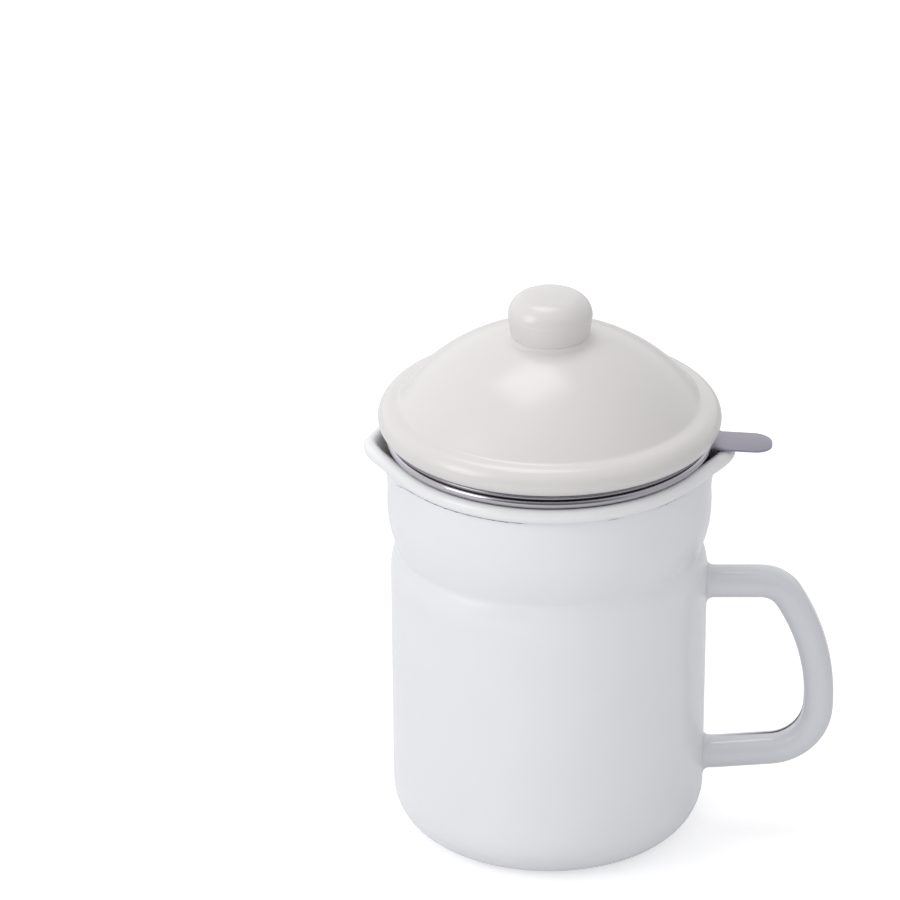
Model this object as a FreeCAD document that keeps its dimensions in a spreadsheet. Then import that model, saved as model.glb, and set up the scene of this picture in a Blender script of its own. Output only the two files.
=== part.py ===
"""Enamelled storage pot for filtered cooking fat, with a knobbed lid, a mesh strainer and a
hanging frame for a filter cartridge.

Frame of the part: the pot's axis is Z and the flat base stands on z = 0.  The handle and the
frame's finger tab point along +X, the pour lip along -X, and XZ is the mirror plane.
The pieces are modelled where they sit when the pot is closed: the frame hangs by its bead on
the pot's rolled rim, the strainer lies on that bead and the lid lies on the strainer.
"""
import FreeCAD, Part
import math
import os
import Sketcher

Vector = FreeCAD.Vector
doc = FreeCAD.newDocument("grease_pot")

# Driving dimensions: millimetres and degrees.
DIMENSIONS = {
    # pot body
    "pot_sheet": 1.3,            # enamelled steel sheet
    "pot_height": 141.6,         # top of the rolled rim
    "foot_radius": 35.2,         # flat of the base
    "corner_round": 17.0,        # base corner
    "wall_lean": 0.62,           # the lower wall widens upwards by this angle
    "shoulder_drop": 46.6,       # from the rim's top down to where that wall rounds in
    "groove_drop": 37.3,         # from the rim's top down to the pinch
    "groove_inset": 2.144,       # how far the pinch lies inside the shoulder
    "groove_half": 1.5,          # half of its height
    "groove_round": 2.5,
    "band_drop": 21.6,           # from the rim's top down to the band's widest place
    "band_swell": 3.35,          # how far the band stands out from the pinch
    "neck_inset": 0.5,           # how far the neck lies inside the band
    "neck_land": 0.8,            # upright stretch below the lips' start
    "neck_ledge": 0.1,           # how much thinner the mouth's sheet is on either side
    "neck_lean": 0.5,            # how far the wall leans in from the neck to the rim
    "lip_depth": 13.1,           # from the rim's top down to the lips' start
    "rim_inset": 0.05,           # how far the rolled rim's centre line lies inside the neck
    "rim_round": 2.5,            # radius of the rolled rim
    "lip_length": 5.8,           # how far a lip runs out from the round of the rim
    "lip_spread": 30.0,          # half angle that a lip takes up
    "lip_blunt": 5.0,            # angle over which its tip is rounded
    "lip_flare": 1.5,            # power by which the wall runs out to the lip
    "lip_dip": 1.4,              # how far the handle-side lip drops to let the tab pass
    # handle
    "handle_depth": 10.0,        # section, in the plane of the loop
    "handle_width": 12.0,        # section, across it
    "handle_flat": 0.8,          # flat left on its narrow faces between the rounds
    "handle_sheet": 1.2,
    "arm_drop": 5.8,             # from the shoulder down to the upper arm's centre line
    "arm_low": 25.2,             # centre line of the lower arm where it meets the wall
    "arm_rise": 3.4,             # slope of the lower arm
    "grip_stand": 37.956,        # from the shoulder out to the grip's centre line
    "grip_level": 47.0,          # height at which it stands out that far
    "grip_bow": 70.0,            # radius of the bowed grip
    "elbow_high": 11.0,
    "elbow_low": 17.0,
    "handle_overlap": 4.0,       # how far the arms reach inwards before they are trimmed
    # frame for the cartridge
    "frame_sheet": 0.6,
    "frame_bead": 1.55,          # radius of the beaded edge
    "bead_inset": 0.6,           # how far its centre line lies inside the rim's
    "bead_flare": 2.21,          # round under the bead
    "frame_drop": 26.1,          # bead's centre down to the underside
    "frame_gap": 0.4,            # between the rim's bore and the frame's wall
    "frame_taper": 1.3,          # how much smaller the wall is above its foot
    "frame_step": 0.15,          # small step in the wall above the foot
    "frame_foot": 3.0,           # height of the foot and of the seat inside
    "frame_corner": 0.8,         # tight fold under the foot
    "foot_width": 1.7,           # outside width of the folded foot, wall to riser
    "riser_round": 0.8,
    "seat_width": 6.45,          # flat seat for the cartridge's rim
    "seat_round": 0.48,
    "step_high": 0.8,            # rounds of the step down from the seat
    "step_low": 1.0,
    "flange_width": 4.7,         # from the step in to the hem's centre line
    "opening_hem": 0.5,
    "seat_gap": 0.25,            # running gap under a piece that lifts off
    # finger tab
    "tab_sheet": 0.7,
    "tab_width": 14.0,
    "tab_overhang": 12.25,       # how far the tongue stands out over the lip's tip
    "tab_drop": 1.4,             # fall of the tongue from bend to tip
    "tab_leg": 15.7,             # bead's centre down to the end of the leg
    "tab_bend": 0.7,
    "tab_round": 6.2,
    "weld_gap": 0.05,            # paper-thin gap between pieces that are welded or crimped
    # strainer
    "strip_sheet": 0.45,
    "strip_curl": 0.75,          # radius of the strip's rolled outer edge
    "strip_inset": 0.2,          # how far its outside lies inside the bead's
    "strip_width": 4.6,
    "strip_fall": 0.85,          # fall of the strip towards the mesh
    "strip_leg": 1.5,            # depth of its inner leg
    "leg_round": 0.9,
    "joint_angle": 32.0,         # where the strip's ends meet
    "joint_gap": 0.35,
    "joint_margin": 1.0,         # how far the slit reaches past the strip on each side
    "mesh_sheet": 0.6,           # thickness of the woven sheet
    "mesh_depth": 15.3,          # strip's widest plane down to the underside
    "mesh_taper": 1.0,
    "mesh_corner": 3.0,
    # lid
    "lid_sheet": 1.3,
    "lid_overhang": 2.85,        # how far the brim stands out over the strainer's strip
    "dome_rise": 31.07,          # brim's widest plane up to the dome's crown
    "valley_width": 2.2,         # hollow between the dome and the brim's crown
    "valley_step": 1.49,         # how far the dome's foot lies above that crown
    "valley_round": 3.0,
    "brim_round": 5.8,
    "brim_fold": 3.6,            # tight fold under the brim
    "skirt_gap": 2.35,           # between the strainer's bore and the skirt
    "skirt_taper": 0.2,
    "skirt_depth": 12.85,        # brim's widest plane down to the skirt's edge
    "skirt_round": 1.1,
    "skirt_edge": 0.55,
    # knob
    "knob_sheet": 1.3,
    "knob_radius": 14.15,
    "knob_height": 13.13,        # from the dome's crown up to the edge of the flat top
    "knob_crown": 7.0,           # radius of that top
    "knob_crown_round": 40.0,
    "knob_shoulder": 7.15,       # round from the flat top down to the widest place
    "knob_side": 5.75,           # height of the side below that
    "knob_draft": 0.8,           # how far the side draws in
    "knob_neck_inset": 1.1,      # how far the neck lies inside the side's foot
    "knob_neck_round": 1.6,
}

sheet = doc.addObject("Spreadsheet::Sheet", "Sizes")
for row, (alias, value) in enumerate(DIMENSIONS.items(), start=1):
    sheet.set(f"A{row}", alias)
    sheet.set(f"B{row}", str(value))
    sheet.setAlias(f"B{row}", alias)
doc.recompute()


class Size:
    """A length or angle that carries its value and the expression that drives it."""

    def __init__(self, value, text):
        self.value = float(value)
        self.text = text

    def _join(self, other, sign, value):
        other = as_size(other)
        return Size(value(self.value, other.value), f"({self.text} {sign} {other.text})")

    def __add__(self, other):
        return self._join(other, "+", lambda a, b: a + b)

    def __sub__(self, other):
        return self._join(other, "-", lambda a, b: a - b)

    def __mul__(self, other):
        return self._join(other, "*", lambda a, b: a * b)

    def __truediv__(self, other):
        return self._join(other, "/", lambda a, b: a / b)

    def __neg__(self):
        return Size(-self.value, f"(0 - {self.text})")


def as_size(number):
    """A plain number as a Size; a Size as it is."""
    return number if isinstance(number, Size) else Size(number, repr(float(number)))


def size(alias):
    """The driving dimension with this alias."""
    return Size(sheet.get(alias), f"Sizes.{alias}")


def root(square):
    return Size(math.sqrt(square.value), f"sqrt({square.text})")


def cosine(angle):
    return Size(math.cos(math.radians(angle.value)), f"cos({angle.text})")


def sine(angle):
    return Size(math.sin(math.radians(angle.value)), f"sin({angle.text})")


def bind(thing, prop, length):
    """Drive one property of a document object by a Size."""
    thing.setExpression(prop, as_size(length).text)


def smooth_radius(run, chord):
    """Radius of the arc that leaves a straight run without a kink and spans the chord."""
    length = root(run[0] * run[0] + run[1] * run[1])
    square = chord[0] * chord[0] + chord[1] * chord[1]
    return length * square / ((run[0] * chord[1] - run[1] * chord[0]) * 2)


def upright_radius(across, up):
    """Radius of the arc that spans across and up and is upright at one end."""
    return (across * across + up * up) / (across * 2)


# Heights and radii that several pieces share.
lean = size("wall_lean")
corner_radius = size("foot_radius") + size("corner_round") * cosine(lean)
corner_level = size("corner_round") * (Size(1, "1") - sine(lean))
shoulder_level = size("pot_height") - size("shoulder_drop")
shoulder_radius = corner_radius + (shoulder_level - corner_level) * sine(lean) / cosine(lean)
groove_radius = shoulder_radius - size("groove_inset")
band_radius = groove_radius + size("band_swell")
neck_radius = band_radius - size("neck_inset")
rim_ring = neck_radius - size("rim_inset")
rim_bore = rim_ring - size("rim_round")
rim_level = size("pot_height") - size("rim_round")
lip_start = size("pot_height") - size("lip_depth")
bead_ring = rim_ring - size("bead_inset")
bead_level = size("pot_height") + size("seat_gap") + size("frame_bead")
frame_throat = rim_bore - size("frame_gap")
frame_base = bead_level - size("frame_drop")
strip_radius = bead_ring + size("frame_bead") - size("strip_inset")
strip_ring = strip_radius - size("strip_curl")
leg_bore = strip_radius - size("strip_width")
strip_offset = strip_ring - bead_ring
strip_reach = size("frame_bead") + size("strip_curl")
strip_level = (bead_level + size("seat_gap")
               + root(strip_reach * strip_reach - strip_offset * strip_offset))
lid_radius = strip_radius + size("lid_overhang")
brim_level = strip_level + size("strip_curl") + size("seat_gap") + size("brim_fold")
brim_crown = lid_radius - size("brim_round")
valley_radius = brim_crown - size("valley_width")
valley_rise = size("brim_round") + size("valley_step")
dome_radius = upright_radius(size("dome_rise") - valley_rise, valley_radius)


def arc_centre(start, end, radius, turn):
    """Centre of the arc from start to end; turn is +1 when it curves to the left."""
    chord = end - start
    middle = (start + end) * 0.5
    left = Vector(-chord.y, chord.x, 0).normalize()
    height = math.sqrt(max(radius ** 2 - chord.Length ** 2 / 4, 0.0))
    return middle + left * (turn * height)


def arc_geometry(start, end, radius, turn):
    """A sketch arc and which of its ends is the start."""
    centre = arc_centre(start, end, radius, turn)
    angles = [math.atan2(p.y - centre.y, p.x - centre.x) for p in (start, end)]
    circle = Part.Circle(centre, Vector(0, 0, 1), radius)
    if turn > 0:
        return Part.ArcOfCircle(circle, angles[0], angles[1]), 1
    return Part.ArcOfCircle(circle, angles[1], angles[0]), 2


def place_point(sketch, index, end, x, y):
    """Hold one end of a sketch element at (x, y) from the sketch's origin."""
    for kind, length in (("DistanceX", x), ("DistanceY", y)):
        length = as_size(length)
        number = sketch.addConstraint(
            Sketcher.Constraint(kind, -1, 1, index, end, length.value))
        sketch.setExpression(f"Constraints[{number}]", length.text)


def sheet_section(name, gauge, side, start, *steps):
    """The cross-section of a formed sheet whose outer face follows the steps from start.

    Each step is (x, z) for a straight run or (x, z, radius, turn) for an arc.  The sheet lies
    to the left of that route where side is +1 and to its right where side is -1.
    """
    sketch = doc.addObject("Sketcher::SketchObject", name + "Outline")
    sketch.Placement = FreeCAD.Placement(Vector(), FreeCAD.Rotation(Vector(1, 0, 0), 90))
    here = Vector(as_size(start[0]).value, as_size(start[1]).value, 0)
    last = None
    for step in steps:
        there = Vector(as_size(step[0]).value, as_size(step[1]).value, 0)
        if len(step) == 2:
            index = sketch.addGeometry(Part.LineSegment(here, there), False)
            first = 1
        else:
            radius, turn = as_size(step[2]), step[3]
            arc, first = arc_geometry(here, there, radius.value, turn)
            index = sketch.addGeometry(arc, False)
        if last is None:
            place_point(sketch, index, first, *start)
        else:
            sketch.addConstraint(Sketcher.Constraint("Coincident", *last, index, first))
        place_point(sketch, index, 3 - first, *step[:2])
        if len(step) > 2:
            number = sketch.addConstraint(Sketcher.Constraint("Radius", index, radius.value))
            sketch.setExpression(f"Constraints[{number}]", radius.text)
        last = (index, 3 - first)
        here = there

    # A wire that begins with a clockwise arc runs from its far end.
    backwards = len(steps[0]) > 2 and steps[0][3] < 0
    offset = gauge if (side > 0) != backwards else -gauge
    section = doc.addObject("Part::Offset2D", name + "Section")
    section.Source = sketch
    section.Mode = "Skin"
    section.Join = "Arc"
    section.Fill = True
    section.Value = offset.value
    bind(section, "Value", offset)
    return section


def revolved(name, source):
    turned = doc.addObject("Part::Revolution", name)
    turned.Source = source
    turned.Axis = Vector(0, 0, 1)
    turned.Base = Vector(0, 0, 0)
    turned.Angle = 360
    turned.Solid = True
    return turned


def ring(name, radius, tube, level):
    """A beaded edge: a torus about the axis."""
    torus = doc.addObject("Part::Torus", name)
    bind(torus, "Radius1", radius)
    bind(torus, "Radius2", tube)
    bind(torus, "Placement.Base.z", level)
    return torus


def cut(name, base, tool):
    result = doc.addObject("Part::Cut", name)
    result.Base = base
    result.Tool = tool
    return result


def fused(name, *shapes):
    result = doc.addObject("Part::MultiFuse", name)
    result.Shapes = list(shapes)
    return result


def rounded(name, base, radius, chosen):
    """Round the edges for which chosen(edge) is true."""
    doc.recompute()
    result = doc.addObject("Part::Fillet", name)
    result.Base = base
    numbers = [i for i, edge in enumerate(base.Shape.Edges, start=1) if chosen(edge)]
    result.Edges = [(number, radius.value, radius.value) for number in numbers]
    return result


# ---------------------------------------------------------------- pot body

def lip_shape(angle):
    """0 on the round of the rim and 1 at the tip of a lip, for an angle in degrees from X."""
    spread = size("lip_spread").value
    blunt = size("lip_blunt").value
    away = abs((angle + 90.0) % 180.0 - 90.0)
    turn = spread - math.hypot(away, blunt)
    if turn <= 0:
        return 0.0
    tip = spread - blunt
    return (1 / math.cos(math.radians(turn)) - 1) / (1 / math.cos(math.radians(tip)) - 1)


def dip_shape(angle):
    """1 at the tip of the handle-side lip, falling smoothly to 0 at its edges."""
    away = abs((angle + 180.0) % 360.0 - 180.0) / size("lip_spread").value
    return (1 - away ** 2) ** 2 if away < 1 else 0.0


MOUTH_SECTIONS = 24      # steps in each lofted part of the mouth
WALL_POINTS = 8          # steps up the flaring wall
RIM_POINTS = 18          # steps round the rolled rim


def smooth_edge(points):
    """A smooth edge through the points, with evenly spread knots."""
    curve = Part.BSplineCurve()
    last = len(points) - 1
    curve.interpolate(Points=points, Parameters=[step / last for step in range(last + 1)])
    return curve.toShape()


def mouth_section(angle):
    """Closed outline of the flaring wall and its rolled rim, in the upright plane at angle."""
    start, neck = lip_start.value, neck_radius.value
    tube, reach = size("rim_round").value, size("lip_length").value
    lip = reach * lip_shape(angle)
    centre = rim_ring.value + lip
    level = rim_level.value - size("lip_dip").value * dip_shape(angle)
    # The plane cuts the rim askew beside a lip, so the round is wider there.
    slope = math.degrees(reach * (lip_shape(angle + 0.5) - lip_shape(angle - 0.5)))
    wide = tube * math.hypot(1.0, slope / centre)

    def wall(part, inset):
        flare = lip * max(part, 0.0) ** size("lip_flare").value
        return (neck - size("neck_lean").value * part + flare - inset,
                start + (level - start) * part)

    sides = []
    sunk = -size("neck_land").value / (level - start)
    for inset in (size("neck_ledge").value, (size("pot_sheet") - size("neck_ledge")).value):
        within, below = 1.0, 0.0
        while within - below > 1e-9:
            part = (within + below) / 2
            x, z = wall(part, inset)
            if math.hypot((x - centre) / wide, (z - level) / tube) < 1:
                within = part
            else:
                below = part
        sides.append([wall(sunk + (below - sunk) * step / WALL_POINTS, inset)
                      for step in range(WALL_POINTS + 1)])
    outer, inner = sides
    first, last = [math.atan2((z - level) / tube, (x - centre) / wide)
                   for x, z in (outer[-1], inner[-1])]
    turns = [first + (last + 2 * math.pi - first) * step / RIM_POINTS
             for step in range(RIM_POINTS + 1)]
    rim = [(centre + wide * math.cos(turn), level + tube * math.sin(turn)) for turn in turns]

    across, along = math.cos(math.radians(angle)), math.sin(math.radians(angle))
    runs = [[Vector(x * across, x * along, z) for x, z in run]
            for run in (outer, rim, inner[::-1])]
    edges = [smooth_edge(run) for run in runs]
    edges.append(Part.LineSegment(runs[2][-1], runs[0][0]).toShape())
    return Part.Wire(edges)


def mouth_part(name, middle, half):
    """The flaring mouth with its rolled rim, lofted over half an angle each side of middle."""
    lofted = doc.addObject("Part::Feature", name)
    lofted.Shape = Part.makeLoft(
        [mouth_section(middle - half + 2 * half * step / MOUTH_SECTIONS)
         for step in range(MOUTH_SECTIONS + 1)], True, False)
    return lofted


def pot_body():
    """Drawn pot with a pinched groove, a swelling band and a rolled rim with two lips."""
    half, turn = size("groove_half"), size("groove_round")
    flank = groove_radius + turn - root(turn * turn - half * half)
    groove_level = size("pot_height") - size("groove_drop")
    low, high = groove_level - half, groove_level + half
    belly = (shoulder_radius - corner_radius, shoulder_level - corner_level)
    band, band_level = band_radius, size("pot_height") - size("band_drop")
    neck, neck_level = neck_radius, lip_start - size("neck_land")
    wall = sheet_section(
        "Pot", size("pot_sheet"), 1, (0, 0), (size("foot_radius"), 0),
        (corner_radius, corner_level, size("corner_round"), 1),
        (shoulder_radius, shoulder_level),
        (flank, low,
         smooth_radius(belly, (flank - shoulder_radius, low - shoulder_level)), 1),
        (flank, high, turn, -1),
        (band, band_level, upright_radius(band - flank, band_level - high), 1),
        (neck, neck_level, upright_radius(band - neck, neck_level - band_level), 1),
        (neck, lip_start))
    spread = size("lip_spread").value
    return fused("PotBody", revolved("PotDrawn", wall),
                 mouth_part("HandleLip", 0.0, spread), mouth_part("LeftMouth", 90.0, 90.0 - spread),
                 mouth_part("PourLip", 180.0, spread), mouth_part("RightMouth", 270.0, 90.0 - spread))


# ---------------------------------------------------------------- handle

arm_level = shoulder_level - size("arm_drop")


def handle_path():
    """Centre line of the D-shaped handle: arm, elbow, bowed grip, elbow, sloping arm."""
    high, low = arm_level.value, size("arm_low").value
    bow, level = size("grip_bow").value, size("grip_level").value
    r_high, r_low = size("elbow_high").value, size("elbow_low").value
    slope = math.radians(size("arm_rise").value)
    begin = corner_radius - size("handle_overlap")
    reach = shoulder_radius + size("grip_stand")
    hub = Vector(reach.value - bow, level, 0)
    up = Vector(0, high - r_high, 0)
    up.x = hub.x + math.sqrt((bow - r_high) ** 2 - (up.y - hub.y) ** 2)
    along = Vector(math.cos(slope), math.sin(slope), 0)
    across = Vector(-along.y, along.x, 0)
    foot = Vector(begin.value, low, 0)
    to_hub = hub - foot
    run = to_hub.dot(along) + math.sqrt((bow - r_low) ** 2 - (to_hub.dot(across) - r_low) ** 2)
    down = foot + along * run + across * r_low
    join_up = hub + (up - hub).normalize() * bow
    join_down = hub + (down - hub).normalize() * bow
    points = [Vector(begin.value, high, 0), Vector(up.x, high, 0), join_up, join_down,
              foot + along * run, foot]

    path = doc.addObject("Sketcher::SketchObject", "HandlePath")
    path.Placement = FreeCAD.Placement(Vector(), FreeCAD.Rotation(Vector(1, 0, 0), 90))
    path.addGeometry(Part.LineSegment(points[0], points[1]), False)
    for radius, a, b in ((r_high, points[1], points[2]), (bow, points[2], points[3]),
                         (r_low, points[3], points[4])):
        path.addGeometry(arc_geometry(a, b, radius, -1)[0], False)
    path.addGeometry(Part.LineSegment(points[4], points[5]), False)
    # A clockwise arc begins at its end point 2 and ends at its end point 1.
    for a, end_a, b, end_b in ((0, 2, 1, 2), (1, 1, 2, 2), (2, 1, 3, 2), (3, 1, 4, 1)):
        path.addConstraint(Sketcher.Constraint("Tangent", a, end_a, b, end_b))
    path.addConstraint(Sketcher.Constraint("Horizontal", 0))
    place_point(path, 0, 1, begin, arm_level)
    place_point(path, 4, 2, begin, size("arm_low"))
    place_point(path, 2, 3, reach - size("grip_bow"), size("grip_level"))
    for index, alias in ((1, "elbow_high"), (2, "grip_bow"), (3, "elbow_low")):
        number = path.addConstraint(Sketcher.Constraint("Radius", index, size(alias).value))
        path.setExpression(f"Constraints[{number}]", size(alias).text)
    number = path.addConstraint(Sketcher.Constraint("Angle", -1, 1, 4, 2, slope))
    path.setExpression(f"Constraints[{number}]", f"{size('arm_rise').text} * 1 deg")
    return path, begin


def handle_sweep(name, path, begin, inset):
    """The handle's rounded section, drawn along its path; inset makes it smaller."""
    half_y = size("handle_width") / 2 - inset
    half_z = size("handle_depth") / 2 - inset
    turn = half_z - size("handle_flat") / 2
    section = doc.addObject("Sketcher::SketchObject", name + "Section")
    section.Placement = FreeCAD.Placement(Vector(begin.value, 0, 0),
                                          FreeCAD.Rotation(Vector(1, 1, 1), 120))
    bind(section, "Placement.Base.x", begin)
    high = arm_level
    corners = [(half_y, high - half_z + turn), (half_y, high + half_z - turn),
               (half_y - turn, high + half_z), (-half_y + turn, high + half_z),
               (-half_y, high + half_z - turn), (-half_y, high - half_z + turn),
               (-half_y + turn, high - half_z), (half_y - turn, high - half_z)]
    here = [Vector(as_size(x).value, as_size(z).value, 0) for x, z in corners]
    for step in range(0, 8, 2):
        section.addGeometry(Part.LineSegment(here[step], here[step + 1]), False)
        place_point(section, step, 1, *corners[step])
        place_point(section, step, 2, *corners[step + 1])
        arc = arc_geometry(here[step + 1], here[(step + 2) % 8], turn.value, 1)[0]
        section.addGeometry(arc, False)
        section.addConstraint(Sketcher.Constraint("Coincident", step, 2, step + 1, 1))
        number = section.addConstraint(Sketcher.Constraint("Radius", step + 1, turn.value))
        section.setExpression(f"Constraints[{number}]", turn.text)
    for step in range(1, 8, 2):
        section.addConstraint(
            Sketcher.Constraint("Coincident", step, 2, (step + 1) % 8, 1))
    sweep = doc.addObject("Part::Sweep", name)
    sweep.Sections = [section]
    sweep.Spine = (path, [])
    sweep.Solid = True
    sweep.Frenet = False
    return sweep


def handle():
    """Hollow handle, trimmed to the pot's wall where it is welded on."""
    path, begin = handle_path()
    hollow = cut("HandleTube", handle_sweep("HandleOuter", path, begin, as_size(0.0)),
                 handle_sweep("HandleInner", path, begin, size("handle_sheet")))
    wall = doc.addObject("Part::Cone", "HandleTrim")
    bind(wall, "Radius1", corner_radius + size("weld_gap"))
    bind(wall, "Radius2", shoulder_radius + size("weld_gap"))
    bind(wall, "Height", shoulder_level - corner_level)
    bind(wall, "Placement.Base.z", corner_level)
    return cut("Handle", hollow, wall)


# ---------------------------------------------------------------- frame for the cartridge

def cartridge_frame():
    """Beaded wall with a stepped, open floor that carries the cartridge."""
    base, foot, gauge = frame_base, size("frame_foot"), size("frame_sheet")
    bead, corner = size("frame_bead"), size("frame_corner")
    low_wall = frame_throat - size("frame_taper")
    heel = low_wall - size("frame_step")
    seat_outer = heel - size("foot_width")
    seat_inner = seat_outer - size("seat_width")
    riser, fold = size("riser_round"), size("seat_round")
    high, low = size("step_high"), size("step_low")
    step_end = seat_inner - high - low
    hem_ring = step_end - size("flange_width")
    seat = base + foot - gauge
    flange = base + size("opening_hem") - gauge / 2
    wall = sheet_section(
        "Frame", gauge, -1, (bead_ring - gauge / 2, bead_level - gauge / 2),
        (frame_throat, bead_level - bead * 2, size("bead_flare"), 1),
        (low_wall, base + foot + size("frame_step")),
        (heel, base + foot),
        (heel, base + corner),
        (heel - corner, base, corner, -1),
        (seat_outer + riser, base),
        (seat_outer, base + riser, riser, -1),
        (seat_outer, seat - fold),
        (seat_outer - fold, seat, fold, 1),
        (seat_inner, seat),
        (seat_inner - high, seat - high, high, 1),
        (seat_inner - high, flange + low),
        (step_end, flange, low, -1),
        (hem_ring, flange))
    hem = ring("FrameHem", hem_ring, size("opening_hem"), flange + gauge / 2)
    return fused("CartridgeFrame", revolved("FrameSheet", wall),
                 ring("FrameBead", bead_ring, bead, bead_level), hem)


def frame_tab():
    """Bent strip: a leg spot-welded to the frame's wall and a tongue to lift it by."""
    gauge, bend = size("tab_sheet"), size("tab_bend")
    wall_drop = (size("frame_drop") - size("frame_foot") - size("frame_step")
                 - size("frame_bead") * 2)
    slant = size("frame_taper") / wall_drop
    leg_top = frame_throat + size("weld_gap")
    leg_end = leg_top - slant * (size("tab_leg") - size("frame_bead") * 2)
    outer = bend + gauge
    level = bead_level - size("frame_bead") - size("weld_gap")
    reach = rim_ring + size("lip_length") + size("rim_round") + size("tab_overhang")
    section = sheet_section(
        "Tab", gauge, -1, (leg_end, bead_level - size("tab_leg")),
        (leg_top, level - outer),
        (leg_top + outer, level, outer, -1),
        (reach, level - size("tab_drop")))
    bar = doc.addObject("Part::Extrusion", "TabBar")
    bar.Base = section
    bar.DirMode = "Custom"
    bar.Dir = Vector(0, 1, 0)
    bar.LengthFwd = size("tab_width").value
    bind(bar, "LengthFwd", size("tab_width"))
    bar.Symmetric = True
    bar.Solid = True
    tip = reach.value - gauge.value
    return rounded("FrameTab", bar, size("tab_round"),
                   lambda edge: edge.BoundBox.XMin > tip and edge.BoundBox.YLength < 0.01)


# ---------------------------------------------------------------- strainer

def strainer_rim():
    """Folded strip round the mesh, open where its two ends meet."""
    curl, bore, turn = size("strip_curl"), leg_bore, size("leg_round")
    high = strip_level + curl
    inner = high - size("strip_fall")
    strip = sheet_section(
        "Strip", size("strip_sheet"), 1, (strip_ring, strip_level - curl),
        (strip_radius, strip_level, curl, 1),
        (strip_ring, high, curl, 1),
        (bore + turn, inner),
        (bore, inner - turn, turn, 1),
        (bore, inner - turn - size("strip_leg")))
    band = revolved("StripBand", strip)
    slit = doc.addObject("Part::Box", "StripJoint")
    margin = size("joint_margin")
    height = size("strip_leg") + turn + curl * 2 + margin * 2
    bind(slit, "Length", size("strip_width") + margin * 2)
    bind(slit, "Width", size("joint_gap"))
    bind(slit, "Height", height)
    angle = size("joint_angle")
    start = bore - margin
    slit.Placement = FreeCAD.Placement(Vector(), FreeCAD.Rotation(Vector(0, 0, 1), angle.value))
    bind(slit, "Placement.Rotation.Angle", angle)
    bind(slit, "Placement.Base.x", start * cosine(angle))
    bind(slit, "Placement.Base.y", start * sine(angle))
    bind(slit, "Placement.Base.z", high + margin - height)
    return cut("StrainerRim", band, slit)


def strainer_mesh():
    """The pressed mesh basket as one thin dish."""
    top = leg_bore - size("weld_gap")
    low = top - size("mesh_taper")
    base = strip_level - size("mesh_depth")
    corner = size("mesh_corner")
    brim = strip_level + size("strip_curl") - size("strip_fall") - size("leg_round")
    dish = sheet_section(
        "Mesh", size("mesh_sheet"), -1, (top, brim), (low, base + corner),
        (low - corner, base, corner, -1), (0, base))
    return revolved("StrainerMesh", dish)


# ---------------------------------------------------------------- lid

def dome_height(radius):
    """Height of the dome's outer face above the brim's widest plane."""
    return (size("dome_rise") - dome_radius
            + root(dome_radius * dome_radius - radius * radius))


def lid_shell():
    """Domed lid in one sheet: dome, hollow brim folded under, and a skirt."""
    brim, fold = size("brim_round"), size("brim_fold")
    skirt, turn = leg_bore - size("skirt_gap"), size("skirt_round")
    level = brim_level
    dome = sheet_section(
        "Lid", size("lid_sheet"), -1, (0, level + size("dome_rise")),
        (valley_radius, level + valley_rise, dome_radius, -1),
        (brim_crown, level + brim, size("valley_round"), 1),
        (lid_radius, level, brim, -1),
        (lid_radius - fold, level - fold, fold, -1),
        (skirt + turn, level - fold),
        (skirt, level - fold - turn, turn, 1),
        (skirt - size("skirt_taper"), level - size("skirt_depth")))
    body = revolved("LidSheet", dome)
    edge_level = (level - size("skirt_depth")).value
    return rounded("LidShell", body, size("skirt_edge"),
                   lambda edge: edge.BoundBox.ZMax < edge_level + 0.01 + size("skirt_taper").value
                   and edge.BoundBox.ZLength < 0.01)


def lid_knob():
    """Hollow pressed knob, its neck trimmed to the dome that it is welded to."""
    crown, turn = size("knob_crown"), size("knob_neck_round")
    round_top = size("knob_crown_round")
    rise = round_top - root(round_top * round_top - crown * crown)
    top = brim_level + size("dome_rise") + size("knob_height")
    side = top - size("knob_shoulder")
    waist, waist_level = size("knob_radius") - size("knob_draft"), side - size("knob_side")
    neck = waist - size("knob_neck_inset")
    knob = sheet_section(
        "Knob", size("knob_sheet"), -1, (0, top + rise),
        (crown, top, round_top, -1),
        (size("knob_radius"), side, size("knob_shoulder"), -1),
        (waist, waist_level),
        (neck, waist_level - turn, turn, -1),
        (neck, brim_level + dome_height(neck) - size("lid_sheet")))
    body = revolved("KnobSheet", knob)
    ball = doc.addObject("Part::Sphere", "DomeBall")
    bind(ball, "Radius", dome_radius)
    bind(ball, "Placement.Base.z", brim_level + size("dome_rise") - dome_radius)
    return cut("LidKnob", body, ball)


# ---------------------------------------------------------------- the assembly

PIECES = {
    "pot_body": pot_body(),
    "handle": handle(),
    "cartridge_frame": cartridge_frame(),
    "frame_tab": frame_tab(),
    "strainer_rim": strainer_rim(),
    "strainer_mesh": strainer_mesh(),
    "lid_shell": lid_shell(),
    "lid_knob": lid_knob(),
}
doc.recompute()

for thing in doc.Objects:
    if "Invalid" in thing.State or "Error" in thing.State:
        raise RuntimeError(f"{thing.Label} did not compute: {thing.State}")
for node, piece in PIECES.items():
    piece.Label = node
    shape = piece.Shape
    if shape.isNull() or not shape.isValid() or len(shape.Solids) != 1:
        raise RuntimeError(f"{node} is not one valid solid")

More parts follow.
